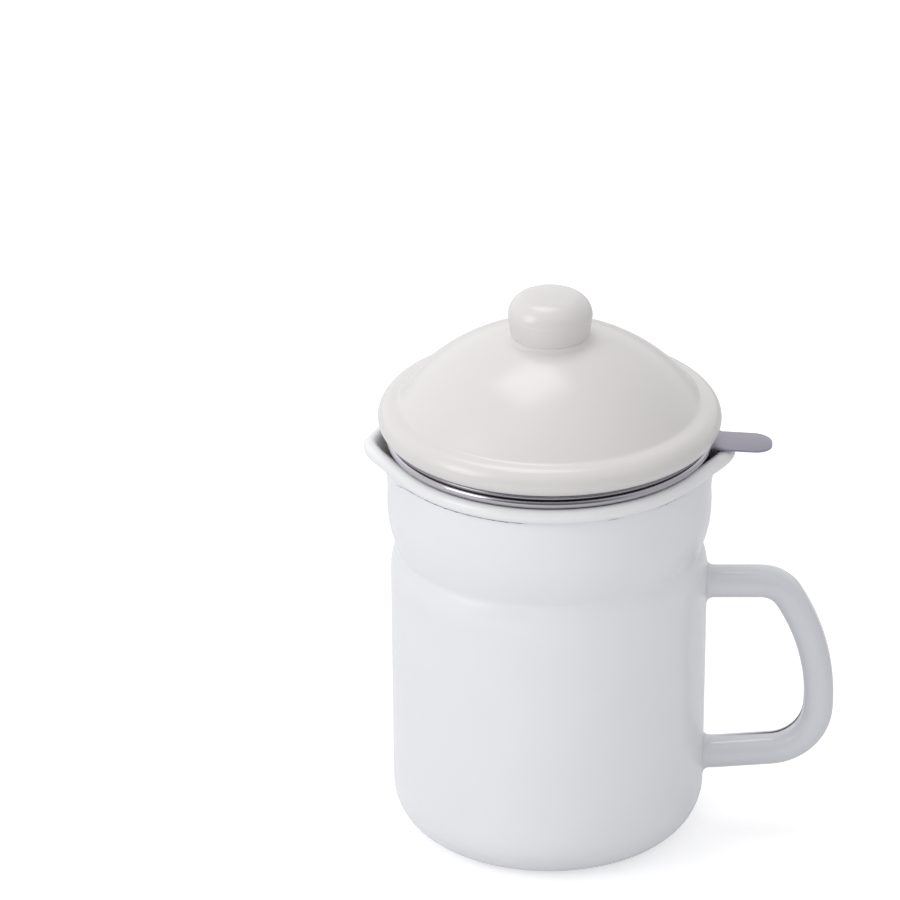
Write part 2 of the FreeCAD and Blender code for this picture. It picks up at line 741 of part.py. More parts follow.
os.makedirs("parts", exist_ok=True)
for node, piece in PIECES.items():
    piece.Shape.exportStep(os.path.join("parts", node + ".step"))
    box = piece.Shape.optimalBoundingBox()
    print(f"{node:16s} volume {piece.Shape.Volume / 1000:8.3f} cm3   "
          f"x {box.XMin:7.2f} {box.XMax:7.2f}  y {box.YMin:7.2f} {box.YMax:7.2f}  "
          f"z {box.ZMin:7.2f} {box.ZMax:7.2f}")
print(f"rest levels: frame bead {bead_level.value:.2f}, strainer {strip_level.value:.2f}, "
      f"lid brim {brim_level.value:.2f}")
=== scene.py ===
"""Looks of the enamelled fat pot: pot, handle, cartridge frame, strainer and knobbed lid."""
import math

import bmesh
import bpy
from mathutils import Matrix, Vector


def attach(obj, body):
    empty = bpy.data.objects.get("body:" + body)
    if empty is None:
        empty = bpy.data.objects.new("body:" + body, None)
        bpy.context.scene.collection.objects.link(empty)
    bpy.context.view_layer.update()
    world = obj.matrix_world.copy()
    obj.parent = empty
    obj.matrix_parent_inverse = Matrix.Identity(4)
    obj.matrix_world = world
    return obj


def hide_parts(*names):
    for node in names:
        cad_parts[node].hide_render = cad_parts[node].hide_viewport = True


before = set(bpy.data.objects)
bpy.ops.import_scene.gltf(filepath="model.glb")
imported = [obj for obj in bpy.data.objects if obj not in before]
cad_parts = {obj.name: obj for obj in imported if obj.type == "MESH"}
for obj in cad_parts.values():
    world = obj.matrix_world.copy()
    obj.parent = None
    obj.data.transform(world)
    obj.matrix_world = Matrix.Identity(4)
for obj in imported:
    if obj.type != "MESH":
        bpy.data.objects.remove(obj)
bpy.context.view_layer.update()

scene = bpy.context.scene
MM = 0.001


# ---------------------------------------------------------------- sizes, the same as the solids'

pot_sheet, pot_height = 1.3, 141.6
foot_radius, corner_round, wall_lean = 35.2, 17.0, math.radians(0.62)
corner_radius = foot_radius + corner_round * math.cos(wall_lean)
corner_level = corner_round * (1 - math.sin(wall_lean))
shoulder_level = pot_height - 46.6
shoulder_radius = corner_radius + (shoulder_level - corner_level) * math.tan(wall_lean)
groove_radius = shoulder_radius - 2.144
groove_level, groove_half, groove_round = pot_height - 37.3, 1.5, 2.5
band_radius, band_level = groove_radius + 3.35, pot_height - 21.6
neck_radius, neck_level = band_radius - 0.5, pot_height - 13.9
rim_ring, rim_round, rim_level = neck_radius - 0.05, 2.5, pot_height - 2.5
lip_length, lip_spread, lip_blunt, lip_dip = 5.8, 30.0, 5.0, 1.4
lip_lean = math.radians(38.0)

handle_depth, handle_width, handle_round = 10.0, 12.0, 4.6
arm_high, arm_low, arm_rise = shoulder_level - 5.8, 25.2, math.radians(3.4)
grip_reach, grip_level, grip_bow = shoulder_radius + 37.956, 47.0, 70.0
elbow_high, elbow_low = 11.0, 17.0

frame_sheet, frame_bead = 0.6, 1.55
bead_ring, bead_level = rim_ring - 0.6, pot_height + 0.25 + frame_bead
frame_throat, frame_base = rim_ring - rim_round - 0.4, bead_level - 26.1

strip_sheet, strip_curl = 0.45, 0.75
strip_radius = bead_ring + frame_bead - 0.2
strip_ring, leg_bore = strip_radius - strip_curl, strip_radius - 4.6
strip_level = bead_level + 0.25 + math.sqrt((frame_bead + strip_curl) ** 2
                                            - (strip_ring - bead_ring) ** 2)
joint_angle = 32.0
mesh_base = strip_level - 15.3

lid_sheet, lid_radius = 1.3, strip_radius + 2.85
brim_round, brim_fold = 5.8, 3.6
brim_level = strip_level + strip_curl + 0.25 + brim_fold
brim_crown = lid_radius - brim_round
valley_radius, valley_rise, dome_rise = brim_crown - 2.2, brim_round + 1.49, 31.07
dome_radius = ((dome_rise - valley_rise) ** 2 + valley_radius ** 2) / 2 / (dome_rise - valley_rise)

knob_radius, knob_top = 14.15, dome_rise + 13.13


# ---------------------------------------------------------------- profiles

def unit(angle):
    """The direction at an angle, one long."""
    return Vector((math.cos(angle), math.sin(angle)))


def left_of(run):
    """The same run, turned left by a right angle."""
    return Vector((-run.y, run.x))


def route(start, *steps):
    """Points along straight runs (r, z) and arcs (r, z, radius, turn); turn +1 curves left."""
    points = [Vector(start)]
    for r, z, *bend in steps:
        here, there = points[-1], Vector((r, z))
        if bend:
            radius, turn = bend
            chord = there - here
            rise = math.sqrt(max(radius ** 2 - chord.length_squared / 4, 0.0))
            centre = (here + there) / 2 + left_of(chord).normalized() * turn * rise
            first, last = [math.atan2(p.y - centre.y, p.x - centre.x) for p in (here, there)]
            sweep = (last - first) % math.tau if turn > 0 else -((first - last) % math.tau)
            # A step turns by 0.13 rad and is 1.8 mm long, at most.
            count = max(3, math.ceil(abs(sweep) / 0.13), math.ceil(abs(sweep) * radius / 1.8))
            for step in range(1, count):
                points.append(centre + unit(first + sweep * step / count) * radius)
        points.append(there)
    return points


def beside(points, gauge):
    """The sheet's other face: the points moved left by the gauge, or right if it is negative."""
    moved = []
    for index, point in enumerate(points):
        runs = [points[k + 1] - points[k] for k in (index - 1, index)
                if 0 <= k < len(points) - 1]
        normals = [left_of(run).normalized() for run in runs]
        mean = sum(normals, Vector((0, 0))).normalized()
        moved.append(point + mean * gauge / mean.dot(normals[0]))
        if point.x == 0:
            moved[-1].x = 0
    kept = moved[:1]
    for index in range(1, len(points)):
        if (moved[index] - kept[-1]).dot(points[index] - points[index - 1]) > 0:
            kept.append(moved[index])
    return kept


def eased(points, spacing, rounds):
    """The same route with its corners eased, as a press leaves them."""
    fine = [points[0]]
    for a, b in zip(points, points[1:]):
        count = max(1, round((b - a).length / spacing))
        fine += [a.lerp(b, step / count) for step in range(1, count + 1)]
    for _ in range(rounds):
        fine = [fine[0]] + [(a + b * 2 + c) / 4 for a, b, c in zip(fine, fine[1:], fine[2:])] \
            + [fine[-1]]
    # Kept are the points where the route turns by 4 degrees, and one every 3 mm.
    kept = [fine[0]]
    for index in range(1, len(fine) - 1):
        run, ahead = fine[index] - kept[-1], fine[index + 1] - fine[index]
        if run.angle(ahead) > 0.07 or run.length > 3.0:
            kept.append(fine[index])
    return kept + [fine[-1]]


def soften(loop, radius, closed=True):
    """Round the corners of an outline that turn by more than 20 degrees."""
    result = []
    for index, point in enumerate(loop):
        if not closed and index in (0, len(loop) - 1):
            result.append(point)
            continue
        back, ahead = loop[index - 1] - point, loop[(index + 1) % len(loop)] - point
        bend = math.pi - back.angle(ahead)
        if bend < 0.35:
            result.append(point)
            continue
        reach = min(radius * math.tan(bend / 2), back.length * 0.49, ahead.length * 0.49)
        start, end = point + back.normalized() * reach, point + ahead.normalized() * reach
        for step in range(6):
            part = step / 5
            result.append(start.lerp(point, part).lerp(point.lerp(end, part), part))
    return result


def hermite(start, start_pull, end, end_pull, count):
    """Points on the smooth curve that leaves start and reaches end with the given pulls."""
    points = []
    for step in range(count + 1):
        t = step / count
        points.append(start * (2 * t ** 3 - 3 * t ** 2 + 1) + start_pull * (t ** 3 - 2 * t ** 2 + t)
                      + end * (3 * t ** 2 - 2 * t ** 3) + end_pull * (t ** 3 - t ** 2))
    return points


def rolled(wall, gauge, centre, wide, high, touch, around, down):
    """A wall whose top is rolled outwards into a bead.

    wall runs up the inner face and touches the bead at the angle touch.  Returned are the
    points round the bead and those down the outer face from the crease where both meet.
    """
    outer = beside(wall, -gauge)
    reach = [math.hypot((p.x - centre.x) / wide, (p.y - centre.y) / high) for p in outer]
    index = next(k for k in range(1, len(outer)) if reach[k] < 1)
    part = (reach[index - 1] - 1) / (reach[index - 1] - reach[index])
    crease = outer[index - 1].lerp(outer[index], part)
    last = math.atan2((crease.y - centre.y) / high, (crease.x - centre.x) / wide)
    sweep = (touch - last) % math.tau
    bead = []
    for step in range(1, around):
        angle = touch - sweep * step / around
        bead.append(centre + Vector((wide * math.cos(angle), high * math.sin(angle))))
    below = outer[:index] + [crease]
    lengths = [0.0]
    for a, b in zip(below, below[1:]):
        lengths.append(lengths[-1] + (b - a).length)
    spaced = []
    for step in range(down, -1, -1):
        want = lengths[-1] * step / down
        k = max(1, next((i for i, length in enumerate(lengths) if length >= want - 1e-9)))
        run = lengths[k] - lengths[k - 1]
        spaced.append(below[k - 1].lerp(below[k], (want - lengths[k - 1]) / run))
    return bead, spaced


# ---------------------------------------------------------------- meshes

def placed(name, data):
    """A new object in the scene."""
    thing = bpy.data.objects.new(name, data)
    scene.collection.objects.link(thing)
    return thing


def set_marks(mesh, marks):
    """Store the marks of a mesh's points as attributes, which its material reads."""
    for mark, values in marks.items():
        mesh.attributes.new(mark, "FLOAT", "POINT").data.foreach_set("value", values)


def finished(name, vertices, faces, marks, body, slot, material, *nodes):
    """A mesh object with its marks as attributes, riding on its body in place of CAD nodes."""
    mesh = bpy.data.meshes.new(name)
    mesh.from_pydata([v * MM for v in vertices], [], faces)
    set_marks(mesh, marks)
    work = bmesh.new()
    work.from_mesh(mesh)
    if work.calc_volume(signed=True) < 0:
        bmesh.ops.reverse_faces(work, faces=work.faces)
    work.to_mesh(mesh)
    work.free()
    mesh.shade_smooth()
    mesh.set_sharp_from_angle(angle=math.radians(40))
    mesh.materials.append(material)
    piece = placed(name, mesh)
    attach(piece, body)
    if nodes:
        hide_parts(*nodes)
    return piece


def turned(name, profile_at, columns, *home, start=0.0, sweep=360.0):
    """Turn a profile about the axis and dress it.

    profile_at(angle) gives spots (r, z, marks).  A profile that begins on the axis ends there
    too; any other is a closed loop.
    """
    whole = sweep == 360.0
    rows = [profile_at(start + sweep * column / columns)
            for column in range(columns + (0 if whole else 1))]
    length = len(rows[0])
    on_axis = rows[0][0][0] < 1e-6
    marks = {mark: [] for mark in rows[0][0][2]}
    vertices, place = [], []
    for column, row in enumerate(rows):
        angle = math.radians(start + sweep * column / columns)
        place.append([])
        for index, (r, z, values) in enumerate(row):
            if on_axis and column and index in (0, length - 1):
                place[-1].append(place[0][index])
                continue
            place[-1].append(len(vertices))
            vertices.append(Vector((r * math.cos(angle), r * math.sin(angle), z)))
            for mark, value in values.items():
                marks[mark].append(value)
    faces = []
    for column in range(columns):
        a, b = place[column], place[(column + 1) % len(rows)]
        for index in range(length - 1 if on_axis else length):
            after = (index + 1) % length
            corners = (a[index], b[index], b[after], a[after])
            faces.append(tuple(dict.fromkeys(corners)))
    if not whole:
        faces += [tuple(place[0]), tuple(reversed(place[-1]))]
    return finished(name, vertices, faces, marks, *home)


def spots(points, **marks):
    """Profile points with the same marks on all of them."""
    return [(p.x, p.y, dict(marks)) for p in points]


# ---------------------------------------------------------------- materials

def linear(hex_colour):
    """An sRGB hex colour as the linear colour that a socket takes."""
    channels = [int(hex_colour[i:i + 2], 16) / 255 for i in (0, 2, 4)]
    return tuple(c / 12.92 if c <= 0.04045 else ((c + 0.055) / 1.055) ** 2.4
                 for c in channels) + (1.0,)


def feed(tree, node, sockets):
    """Link each of a node's sockets to an output, or set it to a value.

    A node given for a socket stands for its first output in use.
    """
    for key, value in sockets.items():
        if isinstance(value, bpy.types.Node):
            value = next(output for output in value.outputs if output.enabled)
        if isinstance(value, bpy.types.NodeSocket):
            tree.links.new(value, node.inputs[key])
        else:
            node.inputs[key].default_value = value


def add_node(tree, kind, sockets=None, **settings):
    """Add a node with its settings and feed it."""
    node = tree.nodes.new(kind)
    for name, value in settings.items():
        setattr(node, name, value)
    feed(tree, node, sockets or {})
    return node


def new_material(name):
    """An empty material, its tree and the principled shader that feeds its output."""
    material = bpy.data.materials.new(name)
    material.use_nodes = True
    tree = material.node_tree
    tree.nodes.clear()
    shader = add_node(tree, "ShaderNodeBsdfPrincipled")
    add_node(tree, "ShaderNodeOutputMaterial", {"Surface": shader})
    return material, tree, shader


def vitreous_enamel(name, outside, inside, roughness=0.24):
    """Glass fired on steel sheet.

    A thick glossy white coat.  It flows a little in the kiln, so its reflections waver over a
    few millimetres, and it draws back from cut edges, where the fired steel shows black.
    """
    material, tree, shader = new_material(name)
    place = add_node(tree, "ShaderNodeTexCoord").outputs["Object"]
    within, bare = [add_node(tree, "ShaderNodeAttribute", attribute_name=mark).outputs["Fac"]
                    for mark in ("inside", "bare")]
    # Inside, the coat is lighter and warmer than outside: painted light, for the light that bounces
    # about inside the pot and lid.
    coat = add_node(tree, "ShaderNodeMix", {"Factor": within, "A": linear(outside),
                                            "B": linear(inside)}, data_type="RGBA")
    # The coat's thickness varies over about 25 mm and lets a trace of the grey ground through.
    cloud = add_node(tree, "ShaderNodeTexNoise", {"Vector": place, "Scale": 40.0, "Detail": 3.0})
    depth = add_node(tree, "ShaderNodeMapRange", {"Value": cloud, "From Min": 0.3, "From Max": 0.7,
                                                  "To Min": 0.0, "To Max": 0.035})
    for much, colour in ((depth, "A8A9AE"), (bare, "1B1918")):
        coat = add_node(tree, "ShaderNodeMix", {"Factor": much, "A": coat, "B": linear(colour)},
                        data_type="RGBA")
    # Flow marks about 6 mm across and the finer orange peel of about 1 mm.
    flow = add_node(tree, "ShaderNodeTexNoise", {"Vector": place, "Scale": 160.0, "Detail": 1.0})
    peel = add_node(tree, "ShaderNodeTexNoise", {"Vector": place, "Scale": 900.0, "Detail": 1.0})
    wave = add_node(tree, "ShaderNodeBump", {"Height": flow, "Strength": 0.5,
                                             "Distance": 0.00005})
    skin = add_node(tree, "ShaderNodeBump", {"Height": peel, "Strength": 0.35,
                                             "Distance": 0.00001, "Normal": wave})
    gloss = add_node(tree, "ShaderNodeMapRange", {"Value": bare, "To Min": roughness,
                                                  "To Max": 0.7})
    feed(tree, shader, {"Base Color": coat, "Roughness": gloss, "Normal": skin, "IOR": 1.52})
    return material


def stainless_steel():
    """Drawn stainless sheet.

    The drawn walls are satin with faint upright draw marks.  The bead, seat and hem were
    polished on a lathe and carry fine rings.  Painted shade darkens the folds, creases and
    bead, the strip and the tab's tongue; painted light lightens the frame's inside.
    """
    material, tree, shader = new_material("Drawn stainless steel")
    place = add_node(tree, "ShaderNodeTexCoord").outputs["Object"]
    polish, painted_shade, painted_light, bare = [
        add_node(tree, "ShaderNodeAttribute", attribute_name=mark).outputs["Fac"]
        for mark in ("polish", "painted_shade", "painted_light", "bare")]
    axis = add_node(tree, "ShaderNodeSeparateXYZ", {"Vector": place}).outputs
    turn = add_node(tree, "ShaderNodeMath", {0: axis["Y"], 1: axis["X"]}, operation="ARCTAN2")
    flat = add_node(tree, "ShaderNodeCombineXYZ", {"X": axis["X"], "Y": axis["Y"]})
    reach = add_node(tree, "ShaderNodeVectorMath", {0: flat}, operation="LENGTH")
    # Draw marks: 0.5 mm wide round the wall and 12 mm long up it.
    around = add_node(tree, "ShaderNodeMath", {0: turn, 1: 100.0}, operation="MULTIPLY")
    upward = add_node(tree, "ShaderNodeMath", {0: axis["Z"], 1: 80.0}, operation="MULTIPLY")
    marks_at = add_node(tree, "ShaderNodeCombineXYZ", {"X": around, "Y": upward})
    marks = add_node(tree, "ShaderNodeTexNoise", {"Vector": marks_at, "Scale": 1.0, "Detail": 4.0})
    # Lathe rings: 0.25 mm apart, coarser than the real ones so that they show.
    ring_at = add_node(tree, "ShaderNodeMath", {0: reach, 1: axis["Z"]}, operation="ADD")
    rings_at = add_node(tree, "ShaderNodeCombineXYZ", {"X": ring_at})
    rings = add_node(tree, "ShaderNodeTexNoise", {"Vector": rings_at, "Scale": 4000.0,
                                                  "Detail": 2.0})
    grain = add_node(tree, "ShaderNodeMix", {"Factor": polish, "A": marks, "B": rings},
                     data_type="FLOAT")
    # The drawn sheet isn't one tone: warmer streaks, about 15 mm wide, run up it.
    streak_at = add_node(tree, "ShaderNodeVectorMath", {0: place, 1: (70.0, 70.0, 9.0)},
                         operation="MULTIPLY")
    streaks = add_node(tree, "ShaderNodeTexNoise", {"Vector": streak_at, "Scale": 1.0,
                                                    "Detail": 3.0})
    warm = add_node(tree, "ShaderNodeMapRange", {"Value": streaks, "From Min": 0.42,
                                                 "From Max": 0.68, "To Min": 0.0, "To Max": 0.22})
    worn = add_node(tree, "ShaderNodeMapRange", {"Value": grain, "From Min": 0.3, "From Max": 0.7,
                                                 "To Min": 0.0, "To Max": 0.16})
    tone = add_node(tree, "ShaderNodeMix", {"Factor": polish, "A": linear("B4B2BE"),
                                            "B": linear("CCCACE")}, data_type="RGBA")
    # Painted light (F1EFF1) lightens the tone and painted shade (7B7884, 2A292C) darkens it; the
    # warm and worn marks are the steel's own.
    for much, colour in ((warm, "D2C6C2"), (painted_shade, "7B7884"), (painted_light, "F1EFF1"),
                         (worn, "8D8B95"), (bare, "2A292C")):
        tone = add_node(tree, "ShaderNodeMix", {"Factor": much, "A": tone, "B": linear(colour)},
                        data_type="RGBA")
    rough = add_node(tree, "ShaderNodeMapRange", {"Value": polish, "To Min": 0.36,
                                                  "To Max": 0.16})
    bump = add_node(tree, "ShaderNodeBump", {"Height": grain, "Strength": 0.4,
                                             "Distance": 0.00001})
    feed(tree, shader, {"Base Color": tone, "Roughness": rough, "Normal": bump, "Metallic": 1.0})
    return material


def stainless_wire():
    """Drawn stainless wire.

    Bright along the top of each strand, with a trace of oil film that changes over a few
    centimetres.
    """
    material, tree, shader = new_material("Stainless wire")
    place = add_node(tree, "ShaderNodeTexCoord").outputs["Object"]
    film = add_node(tree, "ShaderNodeTexNoise", {"Vector": place, "Scale": 45.0, "Detail": 2.0})
    tone = add_node(tree, "ShaderNodeMix", {"Factor": film, "A": linear("FAF8FB"),
                                            "B": linear("ECEAEE")}, data_type="RGBA")
    feed(tree, shader, {"Base Color": tone, "Metallic": 1.0, "Roughness": 0.3})
    return material


# Each inside colour, lighter and warmer than the outside one, is painted light.
pot_enamel = vitreous_enamel("Vitreous enamel, pot", "ECEDF1", "FBF9F1")
lid_enamel = vitreous_enamel("Vitreous enamel, lid", "DCD9D8", "FBF9F1")
# The handle's coat is darker than the pot's: painted shade, for the pot's shadow on it.
handle_enamel = vitreous_enamel("Vitreous enamel, handle", "DADBE1", "FBF9F1", roughness=0.13)
steel = stainless_steel()
wire = stainless_wire()


# ---------------------------------------------------------------- pot body

def lip_shape(angle):
    """0 on the round of the rim and 1 at the tip of a lip."""
    away = abs((angle + 90.0) % 180.0 - 90.0)
    turn = lip_spread - math.hypot(away, lip_blunt)
    if turn <= 0:
        return 0.0
    return ((1 / math.cos(math.radians(turn)) - 1)
            / (1 / math.cos(math.radians(lip_spread - lip_blunt)) - 1))


def dip_shape(angle):
    """1 at the tip of the handle-side lip, 0 at its edges."""
    away = abs((angle + 180.0) % 360.0 - 180.0) / lip_spread
    return (1 - away ** 2) ** 2 if away < 1 else 0.0


def ramp(value, start, width):
    """0 up to the start and 1 from there on, over a width."""
    return min(1.0, max(0.0, (value - start) / width))


def bare_edge(angle):
    """How strongly the roll's cut edge shows black under the rim."""
    angle %= 360.0
    strength = 0.0
    for first, last, much in ((197, 262, 1.0), (290, 297, 0.8), (311, 329, 0.6),
                              (20, 44, 0.7), (96, 128, 0.8), (150, 163, 0.5)):
        strength = max(strength, much * ramp(min(angle - first, last - angle), 0, 3))
    # The glaze closes over the edge here and there.
    return strength * (0.72 + 0.28 * math.sin(angle * 1.9) * math.sin(angle * 0.61))


flank = groove_radius + groove_round - math.sqrt(groove_round ** 2 - groove_half ** 2)
groove_low, groove_high = groove_level - groove_half, groove_level + groove_half
belly = Vector((shoulder_radius - corner_radius, shoulder_level - corner_level))
pinch = Vector((flank - shoulder_radius, groove_low - shoulder_level))
belly_round = belly.length * pinch.length_squared / 2 / belly.cross(pinch)
band_swell, neck_draw = band_radius - flank, band_radius - neck_radius
band_round = (band_swell ** 2 + (band_level - groove_high) ** 2) / 2 / band_swell
neck_round = (neck_draw ** 2 + (neck_level - band_level) ** 2) / 2 / neck_draw
collar_level = 124.0
collar_radius = (band_radius - neck_round
                 + math.sqrt(neck_round ** 2 - (collar_level - band_level) ** 2))
drawn_outer = route((0, 0), (foot_radius, 0), (corner_radius, corner_level, corner_round, 1),
                    (shoulder_radius, shoulder_level), (flank, groove_low, belly_round, 1),
                    (flank, groove_high, groove_round, -1),
                    (band_radius, band_level, band_round, 1),
                    (collar_radius, collar_level, neck_round, 1))
drawn_outer = eased(drawn_outer, spacing=0.3, rounds=2)
drawn_inner = beside(drawn_outer, pot_sheet)
collar_run = (drawn_inner[-1] - drawn_inner[-2]).normalized()
collar_pull, rim_pull = 20, 12
glaze_slope, lowest_line = math.tan(math.radians(25.5)), 7.0


def under_rim(outer, centre, wide, angle):
    """The wall from the neck up to the rim's crease, with the line where the glaze draws back.

    The line lies where a slope that grazes the roll's underside meets the wall: just below the
    roll in front and behind, and lower towards the lips.
    """
    steep = glaze_slope / max(0.35, abs(math.sin(math.radians(angle))))
    lean = math.atan(steep)
    brink = Vector((centre.x + wide * math.sin(lean), centre.y - rim_round * math.cos(lean)))

    def below(spot):
        return spot.y < brink.y - (brink.x - spot.x) * steep

    lengths, line = [0.0], None
    for a, b in zip(outer, outer[1:]):
        lengths.append(lengths[-1] + (b - a).length)
        if line is None and below(b):
            line = min(lengths[-1], lowest_line)
    here = next(k for k in range(1, len(outer)) if lengths[k] >= line)
    fine = 0.1
    while fine < 1.0 and not below(outer[here - 1].lerp(outer[here], fine)):
        fine += 0.1
    line = lengths[here - 1] + (lengths[here] - lengths[here - 1]) * fine
    # The black line is 0.23 mm wide, and its edges fade over 0.05 mm.
    bare = bare_edge(angle)
    places = [(length, 0.0) for length in lengths]
    places += [(line - 0.08, 0.0), (line - 0.03, bare), (line + 0.2, bare), (line + 0.26, 0.0)]
    row = []
    for length, mark in sorted(places, reverse=True):
        k = next((i for i in range(1, len(outer)) if lengths[i] >= length), len(outer) - 1)
        part = (length - lengths[k - 1]) / (lengths[k] - lengths[k - 1])
        row += spots([outer[k - 1].lerp(outer[k], part)], inside=0.0, bare=mark)
    return row


def pot_profile(angle):
    """Half of the pot's section: up the outside, round the rolled rim and down the inside."""
    lip = lip_length * lip_shape(angle)
    slope = math.degrees(lip_length * (lip_shape(angle + 0.5) - lip_shape(angle - 0.5)))
    wide = rim_round * math.hypot(1.0, slope / (rim_ring + lip))
    centre = Vector((rim_ring + lip, rim_level - lip_dip * dip_shape(angle)))
    lean = lip_lean * lip_shape(angle)
    touch = centre + Vector((-wide * math.cos(lean), rim_round * math.sin(lean)))
    wall = hermite(drawn_inner[-1], collar_run * collar_pull, touch,
                   Vector((math.sin(lean), math.cos(lean))) * rim_pull, count=20)
    bead, outer = rolled(wall, pot_sheet, centre, wide, rim_round, math.pi - lean,
                         around=26, down=14)
    row = spots(drawn_outer[:-1], inside=0.0, bare=0.0)
    row += under_rim(outer, centre, wide, angle)
    # From the roll down the inner wall the coat takes on more and more of the inside's painted
    # light.
    row += spots(bead[::-1], inside=0.15, bare=0.0)
    for deep, point in enumerate(wall[:0:-1]):
        row += spots([point], inside=min(1.0, 0.3 + deep * 0.14), bare=0.0)
    row += spots(drawn_inner[::-1], inside=1.0, bare=0.0)
    return row


turned("pot_body_enamel", pot_profile, 360, "pot", "enamel", pot_enamel, "pot_body")


# ---------------------------------------------------------------- handle

def handle_line():
    """Points along the middle of the handle, in the XZ plane."""
    hub = Vector((grip_reach - grip_bow, grip_level))
    up = Vector((0, arm_high - elbow_high))
    up.x = hub.x + math.sqrt((grip_bow - elbow_high) ** 2 - (up.y - hub.y) ** 2)
    along = unit(arm_rise)
    across = left_of(along)
    foot = Vector((corner_radius, arm_low))
    to_hub = hub - foot
    run = (to_hub.dot(along)
           + math.sqrt((grip_bow - elbow_low) ** 2 - (to_hub.dot(across) - elbow_low) ** 2))
    down = foot + along * run + across * elbow_low
    return route((corner_radius, arm_high), (up.x, arm_high),
                 (*(hub + (up - hub).normalized() * grip_bow), elbow_high, -1),
                 (*(hub + (down - hub).normalized() * grip_bow), grip_bow, -1),
                 (*(foot + along * run), elbow_low, -1), (*foot,))


def wall_radius(z):
    """Outside of the pot's wall at a height."""
    return corner_radius + (z - corner_level) * math.tan(wall_lean)


def handle_mesh():
    """The handle: a rounded section swept along its line, with its seam and weld fillets."""
    line = handle_line()
    # Each arm ends in a weld fillet that widens the section where it meets the wall.
    fillet = 2.2
    depths = (-0.4, 0.0, 0.12, 0.35, 0.7, 1.15, 1.7, 2.3, 4.0)
    half_y, half_z, turn = handle_width / 2, handle_depth / 2, handle_round
    section = []
    seam_angle, seam_half, seam_soft = math.radians(275), 0.04, 0.025
    seam_start, seam_full = 53, 72
    turns = [math.tau * step / 48 for step in range(48)]
    turns = [angle for angle in turns if abs(angle - seam_angle) > seam_half * 2]
    turns += [seam_angle + side * (seam_half + soft) for side in (-1, 1)
              for soft in (0, seam_soft)]
    for angle in sorted(turns):
        # A rounded rectangle: round corners about a small flat core.
        x, y = math.cos(angle), math.sin(angle)
        section.append((math.copysign(half_y - turn, x) * min(1, abs(x) * 6) + turn * x,
                        math.copysign(half_z - turn, y) * min(1, abs(y) * 6) + turn * y, angle))
    stations = []
    for index, point in enumerate(line):
        runs = [line[k + 1] - line[k] for k in (index - 1, index) if 0 <= k < len(line) - 1]
        run = sum(runs, Vector((0, 0))).normalized()
        stations.append((point, run))
    rows = []

    def ring_at(point, run, grow, seam):
        ring, marks = [], []
        for y, out, angle in section:
            spread = 1 + grow / math.hypot(y, out)
            place = point + left_of(run) * out * spread
            ring.append(Vector((place.x, y * spread, place.y)))
            marks.append(seam(angle))
        return ring, marks

    def root(point, run, inward):
        found = []
        for depth in depths:
            grow = 0.0
            if depth < fillet:
                part = 1 - max(depth, 0.0) / fillet
                grow = fillet * (1 - math.sqrt(max(0.0, 1 - part * part)))
            ring, marks = ring_at(point, run, grow, lambda angle: 0.0)
            for vertex in ring:
                vertex.x = math.sqrt(wall_radius(vertex.z) ** 2 - vertex.y ** 2) + depth
            found.append((ring, marks))
        return found if inward else found[::-1]

    rows += root(*stations[0], True)
    for point, run in stations[1:-1]:
        # The handle is pressed in two halves; their joint shows along the inner edge.
        low = ramp(grip_level - point.y, 0, 4) * ramp(point.x, seam_start, 5)
        strong = 0.7 + 0.3 * ramp(point.x, seam_full, 6)

        def seam(angle, much=low * strong):
            return much if abs(angle - seam_angle) < seam_half + seam_soft / 2 else 0.0

        rows.append(ring_at(point, run, 0.0, seam))
    rows += root(*stations[-1], False)

    vertices, bare = [], []
    for ring, marks in rows:
        vertices += ring
        bare += marks
    count = len(section)
    faces = []
    for row in range(len(rows) - 1):
        for step in range(count):
            a, b = row * count + step, row * count + (step + 1) % count
            faces.append((a, b, b + count, a + count))
    faces.append(tuple(range(count)))
    faces.append(tuple(reversed(range(len(vertices) - count, len(vertices)))))
    finished("handle_enamel", vertices, faces, {"inside": [0.0] * len(vertices), "bare": bare},
             "pot", "enamel", handle_enamel, "handle")


handle_mesh()


# ---------------------------------------------------------------- frame for the cartridge

low_wall, heel_level = frame_throat - 1.3, frame_base + 3.0
heel = low_wall - 0.15
seat_outer = heel - 1.7
seat_inner = seat_outer - 6.45
step_end = seat_inner - 1.8
fold_round, seat_round, flange_round = 0.8, 0.48, 1.0
hem_ring, hem_round = step_end - 4.7, 0.5
seat_level = heel_level - frame_sheet
flange_level = frame_base + hem_round - frame_sheet / 2


